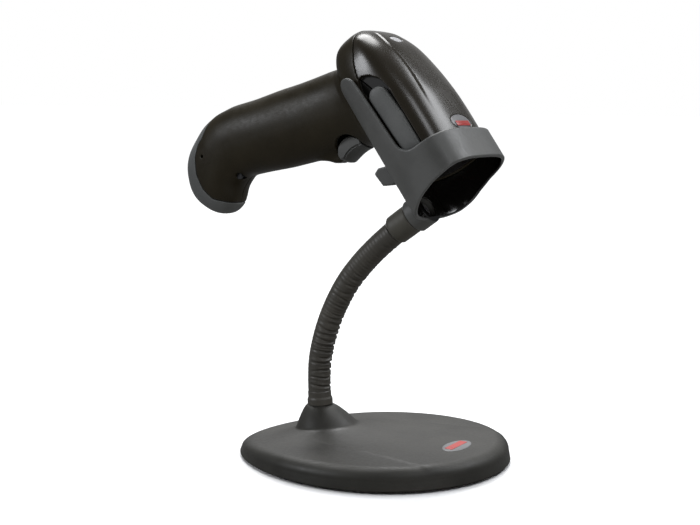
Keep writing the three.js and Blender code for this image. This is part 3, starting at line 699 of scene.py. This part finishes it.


# the cover and both housing halves carry painted shade on their recess floors
top_cover = paint(field("cover_top", cover_field, (-90, -38, -12), (12, 38, 24), H, "scanner", ["top_cover"], painted_shade=recess_painted_shade), "cover")
for sgn, nm in ((1, "left"), (-1, "right")):
    lo = (-110, -1 if sgn > 0 else -38, -167)
    hi = (12, 38 if sgn > 0 else 1, 8)
    paint(field("housing_half_" + nm, low_field(sgn), lo, hi, H, "scanner", ["housing_" + nm], painted_shade=recess_painted_shade), "housing")
paint(field("end_bumper", bumper_field, (-111, -20, -167), (-40, 20, -118), H, "scanner", ["handle_end_bumper"]), "pad")

# rubber pads in the side recesses
PAD = [(1, -6.9), (-37.4, -9.1), *arc(-37.9, -2.8, 6.3, 262, 100, 14), (-21.3, 5.4), (0.5, 5.5)]
pad_out = Table2(polygon(PAD), -52, 8, -16, 12, 0.25, 0.4)
for sgn, nm in ((1, "left"), (-1, "right")):

    def pad(x, y, z, sgn=sgn):
        d2 = pad_out(x, z) + 0.25
        crown = 35.75 - 0.9 * np.exp(d2 / 2.4)
        return rmax(rmax(d2, sgn * y - crown, 1.3), 31.05 - sgn * y, 0.2)

    lo, hi = ((-47, 29.5, -12), (4, 38, 9)) if sgn > 0 else ((-47, -38, -12), (4, -29.5, 9))
    paint(field("side_pad_" + nm, pad, lo, hi, 0.45, "scanner", ["side_bumper_" + nm]), "pad")

# ------------------------------------------------------------------ trigger
bow = Table2(polygon([*arc(*T_C, T_R, 96, 262, 40), (T_C[0] + 2.6, T_C[1] - 8.8), (T_C[0] + 4.1, T_C[1] - 6.6), (T_C[0] + 3.5, T_C[1] - 2.5), (T_C[0] + 3.1, T_C[1] + 1.4), (T_C[0] + 3.3, T_C[1] + 5.5), (T_C[0] + 3.9, T_C[1] + 8.9)]), -48, -14, -64, -30, 0.2, 0.3)
arm = Table2(polygon([(-40, -36.4), (-33.6, -36.4), (T_C[0] + 2, T_C[1] + 7), (T_C[0] - 6.4, T_C[1] + 4)]), -48, -14, -64, -28, 0.2, 0.2)


def trigger_field(x, y, z):
    side = np.abs(y) - 9.4
    b = rmax(bow(x + 0.042 * y * y * step(T_C[0] - 5, T_C[0] + 2, x), z), side, 0.9)
    # a moulded line divides the round cheek from the finger face
    groove = np.abs(np.hypot(x - (T_C[0] + 14.6), z - (T_C[1] + 1.5)) - 15.6) - 0.42
    b = rmax(b, -rmax(groove, 8.5 - np.abs(y), 0.15), 0.3)
    pin = np.hypot(x + 36.8, z + 36.4)
    a = rmax(np.minimum(arm(x, z), pin - 3.4), np.abs(y) - 5, 0.4)
    d = rmin(b, a, 0.8)
    return rmax(d, -(pin - 1.5), 0.25)


paint(field("trigger_lever_skin", trigger_field, (-44, -10.5, -61), (-20, 10.5, -31), 0.34, "trigger_lever", ["trigger"]), "grey")

# ------------------------------------------------------------------ cup
CUP_SIDE = [
    (19.8, 27), (20.5, 16), (22, 8), (23.2, 0), (25.6, -9), (28.8, -17), (30.9, -24), (31.6, -30), (31.7, -34),
    (-4, -34), (-9, -31), (-15.9, -28.4), (-27.1, -27.2), (-37.3, -26.3), (-45.4, -25.1),
    *arc(-51.6, -17.5, 7.9, 248, 112, 16), (-45, -9.2), (-8.6, -7.1), (-4.8, -6.1), (-2.3, -4), (-0.4, -1.2), (0, 2), (0, 27),
]
cup_side = Table2(polygon(CUP_SIDE), -66, 42, -50, 40, 0.3, 0.55)
tab_side = Table2(polygon([(-3.5, -27), (5.1, -27), (4.7, -31.6), (1.9, -37), (-7.2, -38), (-8.7, -34), (-6.5, -28)]), -14, 12, -44, -20, 0.25, 0.25)


def tube(w, t, b, pt=3.4, pb=2.5):
    def f(x, y, z):
        up = z > -4
        p = np.where(up, pt, pb)
        hz = np.where(up, t + 4, -4 - b)
        return ((np.abs(y) / w) ** p + (np.abs(z + 4) / hz) ** p) ** (1 / p) - 1

    return unit(f)


cup_out, cup_in = tube(38.6, 22, -30), tube(36.2, 19.6, -27.6)


def cup_field(x, y, z):
    wall = rmax(cup_out(x, y, z), -cup_in(x, y, z), 0.9)
    d = rmax(wall, cup_side(x, z), 0.9)
    r = np.hypot(x - 23.3, y)
    boss = rmax(rmax(r - 10.4, z + 26.4, 1.0), -39.0 - z, 0.9)
    boss = rmax(boss, -(cup_in(x, y, z) + 0.0), 0.6)
    d = rmin(d, boss, 1.6)
    tab = rmax(rmax(tab_side(x, z), np.abs(y + 14) - 5, 0.7), -(cup_in(x, y, z) - 0.2), 0.2)
    d = rmin(d, tab, 0.7)
    d = rmax(d, -rmax(r - 6.3, np.abs(z + 23) - 10, 0.3), 0.5)
    d = rmax(d, -rmax(r - 2.4, z + 20, 0.2), 0.2)
    rib = rmax(rmax(np.abs(np.abs(y) - 14.6) - 0.7, np.abs(x - 20.6) - 9.6, 0.5), np.maximum(z + 25.2 + 0.02 * (np.abs(y) - 14.6), -30 - z), 0.6)
    return rmin(d, rib, 0.5)


# the cup carries painted shade in the bore of its ring
paint(field("cup_shell", cup_field, (-62, -41, -41), (36, 41, 24.5), H, "cup_holder", ["cup"], painted_shade=cup_painted_shade), "grey")

# fitting under the cup, turned
fit = [(2.4, -54.7), (7.6, -54.7), (8.5, -54.3), (9.05, -53.4), (9.15, -52), (9.2, -41.5), (9.05, -40.2), (8.6, -39.5), (8.0, -39.32), (2.4, -39.32)]
P, F = lathe(fit, 96)
P[:, 0] += 23.3
paint(make("neck_fitting_skin", P, F, "cup_holder", ["neck_fitting"]), "fitting")


# ------------------------------------------------------------------ gooseneck
NECK = np.array([(-36.7, 30.4), (-37.2, 37.5), (-37.4, 44.8), (-36.8, 57.6), (-34, 70.7), (-29.6, 83.7), (-23.5, 96.7), (-15.4, 109.8), (-4.8, 122.3), (5.6, 132.3), (16.15, 141.2)])


def centripetal(pts, per=60):
    p = np.vstack([2 * pts[0] - pts[1], pts, 2 * pts[-1] - pts[-2]])
    out = []
    for i in range(1, len(p) - 2):
        q = p[i - 1 : i + 3]
        t = [0.0]
        for k in range(3):
            t.append(t[-1] + np.linalg.norm(q[k + 1] - q[k]) ** 0.5)
        u = np.linspace(t[1], t[2], per, endpoint=i == len(p) - 3)[:, None]
        a = [(t[k + 1] - u) / (t[k + 1] - t[k]) * q[k] + (u - t[k]) / (t[k + 1] - t[k]) * q[k + 1] for k in range(3)]
        b = [(t[k + 2] - u) / (t[k + 2] - t[k]) * a[k] + (u - t[k]) / (t[k + 2] - t[k]) * a[k + 1] for k in range(2)]
        out.append((t[2] - u) / (t[2] - t[1]) * b[0] + (u - t[1]) / (t[2] - t[1]) * b[1])
    return np.vstack(out)


_curve = centripetal(NECK)
_arc = np.concatenate([[0], np.cumsum(np.hypot(*np.diff(_curve, axis=0).T))])
NECK_LEN = _arc[-1]


def neck_at(s):
    x, z = np.interp(s, _arc, _curve[:, 0]), np.interp(s, _arc, _curve[:, 1])
    e = 0.8
    s0, s1 = np.clip(s - e, 0, NECK_LEN - e), np.clip(s + e, e, NECK_LEN)
    tx = np.interp(s1, _arc, _curve[:, 0]) - np.interp(s0, _arc, _curve[:, 0])
    tz = np.interp(s1, _arc, _curve[:, 1]) - np.interp(s0, _arc, _curve[:, 1])
    L = np.hypot(tx, tz)
    below = np.minimum(s, 0)
    return x + below * tx / L, z + below * tz / L, tx / L, tz / L


rng = np.random.default_rng(11)
WRINKLES = []  # place, depth, width, how far round, lean, phase
s = 11.5
while s < 122:
    low = 1 - min(1, max(0, (s - 44) / 60))
    WRINKLES.append((s, (0.30 + 0.75 * low) * rng.uniform(0.7, 1.25), rng.uniform(0.55, 1.0), rng.uniform(1.0, 1.8), rng.uniform(-0.8, 0.8), rng.uniform(-0.35, 0.35)))
    s += rng.uniform(3.4, 6.0) * (1 + 0.25 * (1 - low))


def neck_radius(s, th):
    """Outer radius of the sleeve; th is 0 on the inner, +X, side of the bend."""
    r = 7.05 + 0.5 * s / NECK_LEN
    for c, depth, width, spread, lean, phase in WRINKLES:
        a = th - phase
        front = np.clip(0.5 + 0.5 * np.cos(a), 0, 1) ** (2.2 / spread)
        u = s - c - lean * np.sin(a) - 0.5 * np.sin(2 * a + c)
        r = r - depth * front * np.exp(-((u / width) ** 2)) + 0.42 * depth * front * np.exp(-(((u - 1.7 * width) / (1.25 * width)) ** 2)) + 0.3 * depth * front * np.exp(-(((u + 1.7 * width) / (1.25 * width)) ** 2))
    r = r + 0.05 * np.sin(s * 2 * math.pi / 2.35) * step(6, 14, s)
    return r


JOINTS = [22, 45, 68, 91, 113]
CUTS = [8.2, 33.5, 56.5, 79.5, 102, NECK_LEN - 0.25]
BORE = 5.45


def tube_piece(name, s0, s1, radius, ds=0.42, n=72, bore=BORE):
    ss = np.linspace(s0, s1, max(4, int((s1 - s0) / ds)))
    th = np.linspace(0, 2 * math.pi, n, endpoint=False)
    x, z, tx, tz = neck_at(ss)
    S, T = np.meshgrid(ss, th, indexing="ij")
    R = radius(S, T)

    def ring(R, sel=slice(None)):
        X = x[sel, None] + R * np.cos(T[sel]) * tz[sel, None]
        Y = R * np.sin(T[sel])
        Z = z[sel, None] - R * np.cos(T[sel]) * tx[sel, None]
        return np.stack([X, Y, Z], -1)

    out = ring(R)
    inn = ring(np.full(S.shape, bore))[::-1]
    rings = np.concatenate([out, inn])
    m = len(rings)
    P = rings.reshape(-1, 3)
    i, j = np.meshgrid(np.arange(m), np.arange(n), indexing="ij")
    i2, j2 = (i + 1) % m, (j + 1) % n
    Q = np.stack([i * n + j, i * n + j2, i2 * n + j2, i2 * n + j], -1).reshape(-1, 4)
    # true normals of the outer wall, so that neighbouring pieces shade as one skin
    e = 0.05
    sx, sz, stx, stz = neck_at(ss)
    dRs = (radius(S + e, T) - radius(S - e, T)) / (2 * e)
    dRt = (radius(S, T + e) - radius(S, T - e)) / (2 * e)
    er = np.stack([np.cos(T) * stz[:, None], np.sin(T), -np.cos(T) * stx[:, None]], -1)
    et = np.stack([-np.sin(T) * stz[:, None], np.cos(T), np.sin(T) * stx[:, None]], -1)
    es = np.stack([np.broadcast_to(stx[:, None], T.shape), np.zeros(T.shape), np.broadcast_to(stz[:, None], T.shape)], -1)
    nn = er - es * dRs[..., None] - et * (dRt / R)[..., None]
    nn /= np.linalg.norm(nn, axis=-1, keepdims=True)
    nin = -(er[::-1])
    normals = np.concatenate([nn, nin]).reshape(-1, 3)
    return make(name, P, Q, None, (), normals, local=False)


for k in range(5):
    ob = paint(tube_piece("neck_skin_%d" % (k + 1), CUTS[k], CUTS[k + 1], neck_radius), "neck")
    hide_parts(*(["neck_sleeve_%d" % (k + 1)] + (["neck_sleeve_6"] if k == 4 else [])))
    a, b = neck_at(JOINTS[k] - 7.5), neck_at(JOINTS[k] + 7.5)
    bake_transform(ob)


def collar_radius(s, th):
    return 7.32 + 0.62 * (1 - step(2.6, 4.4, s)) - 0.5 * (1 - step(-1.05, -0.3, s)) ** 2 - 0.45 * step(7.2, 8.05, s) ** 2


ob = paint(tube_piece("neck_collar_skin", -1.05, 8.05, collar_radius, 0.22), "neck")
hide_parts("neck_collar")
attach(ob, "stand_base")

# ------------------------------------------------------------------ base
BASE_A, BASE_B, EGG, BASE_TOP, BOSS_X, BOSS_TOP, BOSS_R = 86, 76.6, 0.124, 15.7, -36.7, 29.6, 8.0


def outline(a, inset=0.0):
    x, y = np.cos(a), np.sin(a)
    return (BASE_A - inset) * x, (BASE_B - inset) * y * (1 + EGG * x)


def deck(x, y):
    crown = np.where(x > 14, 0.0004, 0.00075)
    z = BASE_TOP - crown * (x - 14) ** 2
    # central tongue: a shallow step along its edge, then a gentle fall to the rim
    edge = 36.8 + 0.21 * (x + 2.6)
    d = np.abs(y) - edge
    fade = step(-30, 6, x)
    fall = 0.030 * np.maximum(0, np.where(x > -16, np.abs(y) - (22 + 0.25 * (x + 16)), np.hypot(x + 16, y) - 22))
    line = 0.5 * step(-1.6, 1.2, d) * fade
    back = 0.022 * np.clip(d + 1.0, 0, 12) * fade
    return z - fall - line + back * 0.8


def boss(x, y):
    dx = x - BOSS_X
    r = np.hypot(dx, y)
    c = dx / np.maximum(r, 1e-6)
    foot = 21.2 + 6.2 * c
    t = np.clip((r - BOSS_R) / (foot - BOSS_R), 0, 1)
    return (BOSS_TOP - deck(x, y)) * (1 - t ** (1.45 - 0.1 * c)), t


def base_top(x, y):
    """The deck swells gently up to the foot of the boss."""
    b = boss(x, y)[0]
    dx = x - BOSS_X
    r = np.hypot(dx, y)
    q = r * 21.2 / (21.2 + 6.2 * dx / np.maximum(r, 1e-6))
    swell = 4.3 * (1 - np.clip((q - 15) / 30, 0, 1)) ** 2
    return deck(x, y) + 0.5 * (b + swell + np.sqrt((b - swell) ** 2 + 0.9 * np.minimum(1, swell)))


def base_mesh():
    n = 360
    a = np.linspace(0, 2 * math.pi, n, endpoint=False)
    ox, oy = outline(a)
    rings = []

    def inset(v, z):
        x, y = outline(a, v)
        rings.append(np.stack([x, y, z(x, y) if callable(z) else np.full(n, float(z))], 1))

    def toward(t, z):
        sx, sy = outline(a, 9.0)
        bx, by = BOSS_X + 6.2 * np.cos(a), 6.2 * np.sin(a)
        x, y = sx + (bx - sx) * t, sy + (by - sy) * t
        rings.append(np.stack([x, y, z(x, y)], 1))

    inset(1.6, 1.35)
    inset(0.5, 1.35)
    inset(0.12, 1.6)
    inset(0.0, 2.1)
    # wall: slightly drafted, then a broad rounded shoulder
    for k in range(1, 9):
        q = k / 9
        inset(0.9 * q, lambda x, y, q=q: 2.1 + (0.52 * deck(x, y) - 2.1) * q)
    for k in range(0, 19):
        q = math.pi / 2 * k / 18
        inset(0.9 + 8.1 * (1 - math.cos(q)) ** 1.0, lambda x, y, q=q: 0.52 * deck(x, y) + 0.48 * deck(x, y) * math.sin(q) ** 1.0 - 0.0)
    for k in range(1, 151):
        toward(k / 150, base_top)
    # inner rim of the bore and the underside
    toward(1.0, lambda x, y: np.full(n, BOSS_TOP - 3.4))
    for t in (0.9, 0.77, 0.6, 0.3, 0.05):
        toward(t, lambda x, y: base_top(x, y) - 3.0)
    inset(9.5, lambda x, y: deck(x, y) - 3.0)
    inset(5.4, lambda x, y: 0.72 * deck(x, y) - 0.6)
    inset(3.1, 1.35)
    R = np.array(rings)
    m = len(R)
    i, j = np.meshgrid(np.arange(m), np.arange(n), indexing="ij")
    i2, j2 = (i + 1) % m, (j + 1) % n
    Q = np.stack([i * n + j, i * n + j2, i2 * n + j2, i2 * n + j], -1).reshape(-1, 4)
    return R.reshape(-1, 3), Q


P, Q = base_mesh()
ob = make("base_shell", P, Q, "stand_base", ["base_cover"], local=False)
paint(ob, "stand")


# oval badges with a plain raised bar
def oval(name, a, b, thick, crown, n=72, rings=9):
    prof = [(0.0, thick + crown)]
    for k in range(1, rings + 1):
        q = k / rings
        prof.append((q * 0.93, thick + crown * (1 - q * q)))
    prof += [(0.965, thick - 0.04), (0.99, thick - 0.14), (1.0, thick - 0.3), (1.0, 0.0), (0.0, 0.0)]
    th = np.linspace(0, 2 * math.pi, n, endpoint=False)
    P, F = [], []
    for i, t in enumerate(th):
        for r, z in prof[1:-1]:
            P.append((a * r * math.cos(t), b * r * math.sin(t), z))
    m = len(prof) - 2
    top, bot = len(P), len(P) + 1
    P += [(0, 0, prof[0][1]), (0, 0, 0)]
    for i in range(n):
        j = (i + 1) % n
        F.append((top, i * m, j * m))
        F.append((bot, j * m + m - 1, i * m + m - 1))
        for k in range(m - 1):
            F.append((i * m + k, i * m + k + 1, j * m + k + 1, j * m + k))
    return np.array(P), F


def bar(w, l, h, r=0.7):
    """A rounded flat bar: half width w along x, half length l along y."""
    out = []
    for cx, cy, a0 in ((w - r, l - r, 0), (-(w - r), l - r, 90), (-(w - r), -(l - r), 180), (w - r, -(l - r), 270)):
        for k in range(7):
            t = math.radians(a0 + 15 * k)
            out.append((cx + r * math.cos(t), cy + r * math.sin(t), 1))
    n = len(out)
    P, F = [], []
    for s, z in ((1.0, 0), (1.0, h * 0.7), (0.975, h * 0.93), (0.93, h)):
        P += [(x * (s if w > 0 else 1), y * (1 - (1 - s) * w / l), z) for x, y, _ in out]
    for lv in range(3):
        for i in range(n):
            j = (i + 1) % n
            F.append((lv * n + i, lv * n + j, (lv + 1) * n + j, (lv + 1) * n + i))
    F.append(tuple(range(3 * n, 4 * n)))
    F.append(tuple(range(n - 1, -1, -1)))
    return np.array(P), F


zb = float(deck(np.array(59.0), np.array(0.0)))
slope = math.atan(2 * 0.0004 * (59 - 14))
P, F = oval("b", 6.9, 14.2, 0.5, 0.12)
P = P @ rot_y(slope).T + np.array([59, 0, zb - 0.28])
paint(make("base_badge_plate", P, F, "stand_base", ["base_badge"], local=False), "badge")
P, F = bar(2.5, 10.6, 0.22)
P = P @ rot_y(slope).T + np.array([58.4, 0, zb + 0.27])
paint(make("base_badge_bar", P, F, "stand_base", local=False), "red")

# ------------------------------------------------------------------ nameplate and lens on the cover
P, F = oval("n", 5.0, 11.6, 0.8, 0.18)
P[:, 2] -= 0.012 * P[:, 1] ** 2 * 0.25
P = P + np.array([-5.6, 0, 18.35])
paint(make("nose_badge_plate", P, F, "scanner", ["front_badge"]), "badge")
P, F = bar(1.7, 8.2, 0.2)
P[:, 2] -= 0.012 * P[:, 1] ** 2 * 0.25
P = P + np.array([-4.3, 0, 19.42])
paint(make("nose_badge_bar", P, F, "scanner"), "red")


def lens_field(x, y, z):
    e = np.sqrt((x + 70.5) ** 2 + (y / 1.9) ** 2) - 2.9
    return rmax(rmax(e, _head_unit(x, y, z) - 0.15, 0.6), 5 - z, 0.2)


paint(field("status_lens_skin", lens_field, (-76, -7, 3), (-65, 7, 14), 0.3, "scanner", ["status_lens"]), "lens")

# ------------------------------------------------------------------ finishes of the CAD nodes that stay
for n, k in {
    "cup_screw": "steel", "nose_bezel": "black", "scan_window": "window", "trigger_pin": "steel", "trigger_spring": "steel", "main_board": "board", "trigger_switch": "black",
    "beeper": "black", "cable_socket": "black", "housing_screw_lower": "dark_steel", "housing_screw_upper": "dark_steel", "decoder_board": "board", "laser_chassis": "black",
    "laser_diode": "brass", "mirror_post": "steel", "scan_mirror": "mirror", "collecting_mirror": "mirror", "light_sensor": "black", "chassis_screw_front": "steel",
    "chassis_screw_rear": "steel", "status_led": "lens", "non_slip_pad": "grip", "base_bottom_plate": "black", "ballast_plate": "steel", "base_screw_1": "steel",
    "base_screw_2": "steel", "base_screw_3": "steel", "gooseneck_stud": "steel", "gooseneck_nut": "steel",
    **{"neck_core_%d" % i: "steel" for i in range(1, 7)},
}.items():
    paint(NODES[n], k)

# ------------------------------------------------------------------ floor and light
bpy.ops.mesh.primitive_plane_add(size=12, location=(0, 0, 0))
floor = bpy.context.object
floor.name = "floor"
fm = bpy.data.materials.new("floor_white")
fm.use_nodes = True
fb = fm.node_tree.nodes["Principled BSDF"]
fb.inputs["Base Color"].default_value = (0.98, 0.98, 0.98, 1)
fb.inputs["Roughness"].default_value = 0.7
fb.inputs["Specular IOR Level"].default_value = 0.2
# for bounced light the floor counts as darker than it looks, as a table far below the lights would
ft = fm.node_tree
fd = ft.nodes.new("ShaderNodeBsdfDiffuse")
fd.inputs["Color"].default_value = (0.16, 0.16, 0.16, 1)
flp, fmx = ft.nodes.new("ShaderNodeLightPath"), ft.nodes.new("ShaderNodeMixShader")
ft.links.new(flp.outputs["Is Camera Ray"], fmx.inputs[0])
ft.links.new(fd.outputs[0], fmx.inputs[1])
ft.links.new(fb.outputs[0], fmx.inputs[2])
ft.links.new(fmx.outputs[0], ft.nodes["Material Output"].inputs["Surface"])
floor.data.materials.append(fm)

world = bpy.data.worlds.new("world")
scene.world = world
world.use_nodes = True
wt = world.node_tree
bg = wt.nodes["Background"]
bg.inputs["Color"].default_value = (0.92, 0.95, 1.0, 1)
bg.inputs["Strength"].default_value = 0.13
plain = wt.nodes.new("ShaderNodeBackground")
plain.inputs["Color"].default_value = (1, 1, 1, 1)
plain.inputs["Strength"].default_value = 1.0
lp, ms = wt.nodes.new("ShaderNodeLightPath"), wt.nodes.new("ShaderNodeMixShader")
wt.links.new(lp.outputs["Is Camera Ray"], ms.inputs[0])
wt.links.new(bg.outputs[0], ms.inputs[1])
wt.links.new(plain.outputs[0], ms.inputs[2])
wt.links.new(ms.outputs[0], wt.nodes["World Output"].inputs["Surface"])


def area(name, loc, target, size, power, colour=(1, 1, 1), size_y=None):
    d = bpy.data.lights.new(name, "AREA")
    d.energy = power
    d.color = colour
    d.size = size
    if size_y:
        d.shape = "RECTANGLE"
        d.size_y = size_y
    o = bpy.data.objects.new(name, d)
    scene.collection.objects.link(o)
    o.location = loc
    o.rotation_euler = (Vector(target) - Vector(loc)).to_track_quat("-Z", "Y").to_euler()
    return o


def sun(name, direction, power, angle, colour=(1, 1, 1)):
    d = bpy.data.lights.new(name, "SUN")
    d.energy, d.angle, d.color = power, math.radians(angle), colour
    o = bpy.data.objects.new(name, d)
    scene.collection.objects.link(o)
    o.rotation_euler = (-Vector(direction)).to_track_quat("-Z", "Y").to_euler()
    return o


def softbox(name, azimuth, height, away, size, radiance, colour=(1, 1, 1), size_y=None, target=(0.01, 0, 0.17)):
    """An area light seen from the target at an azimuth and height in degrees."""
    a, e = math.radians(azimuth), math.radians(height)
    t = Vector(target)
    loc = t + Vector((math.cos(a) * math.cos(e), math.sin(a) * math.cos(e), math.sin(e))) * away
    return area(name, loc, t, size, radiance * math.pi * size * (size_y or size), colour, size_y)


sun("overhead", (-0.35, 0.45, 1.0), 3.5, 40)
softbox("rear_left", -133, 22, 1.3, 0.40, 13, (0.94, 0.96, 1.0))
softbox("front_right", -32, 47, 1.2, 0.3, 7, (0.94, 0.96, 1.0))
softbox("table", -52, -6, 1.3, 0.9, 2.6, (1.0, 0.97, 0.9), size_y=0.22)
softbox("front_low", -20, -9, 0.9, 0.3, 6, (1.0, 0.98, 0.95), size_y=0.16)
softbox("far_side", 47, 41, 1.3, 0.85, 6.5, (0.95, 0.97, 1.0), size_y=0.45)
softbox("horizon", 118, 17, 2.2, 2.2, 0.42, size_y=0.9)

scene.view_settings.view_transform = "Standard"
scene.view_settings.look = "None"
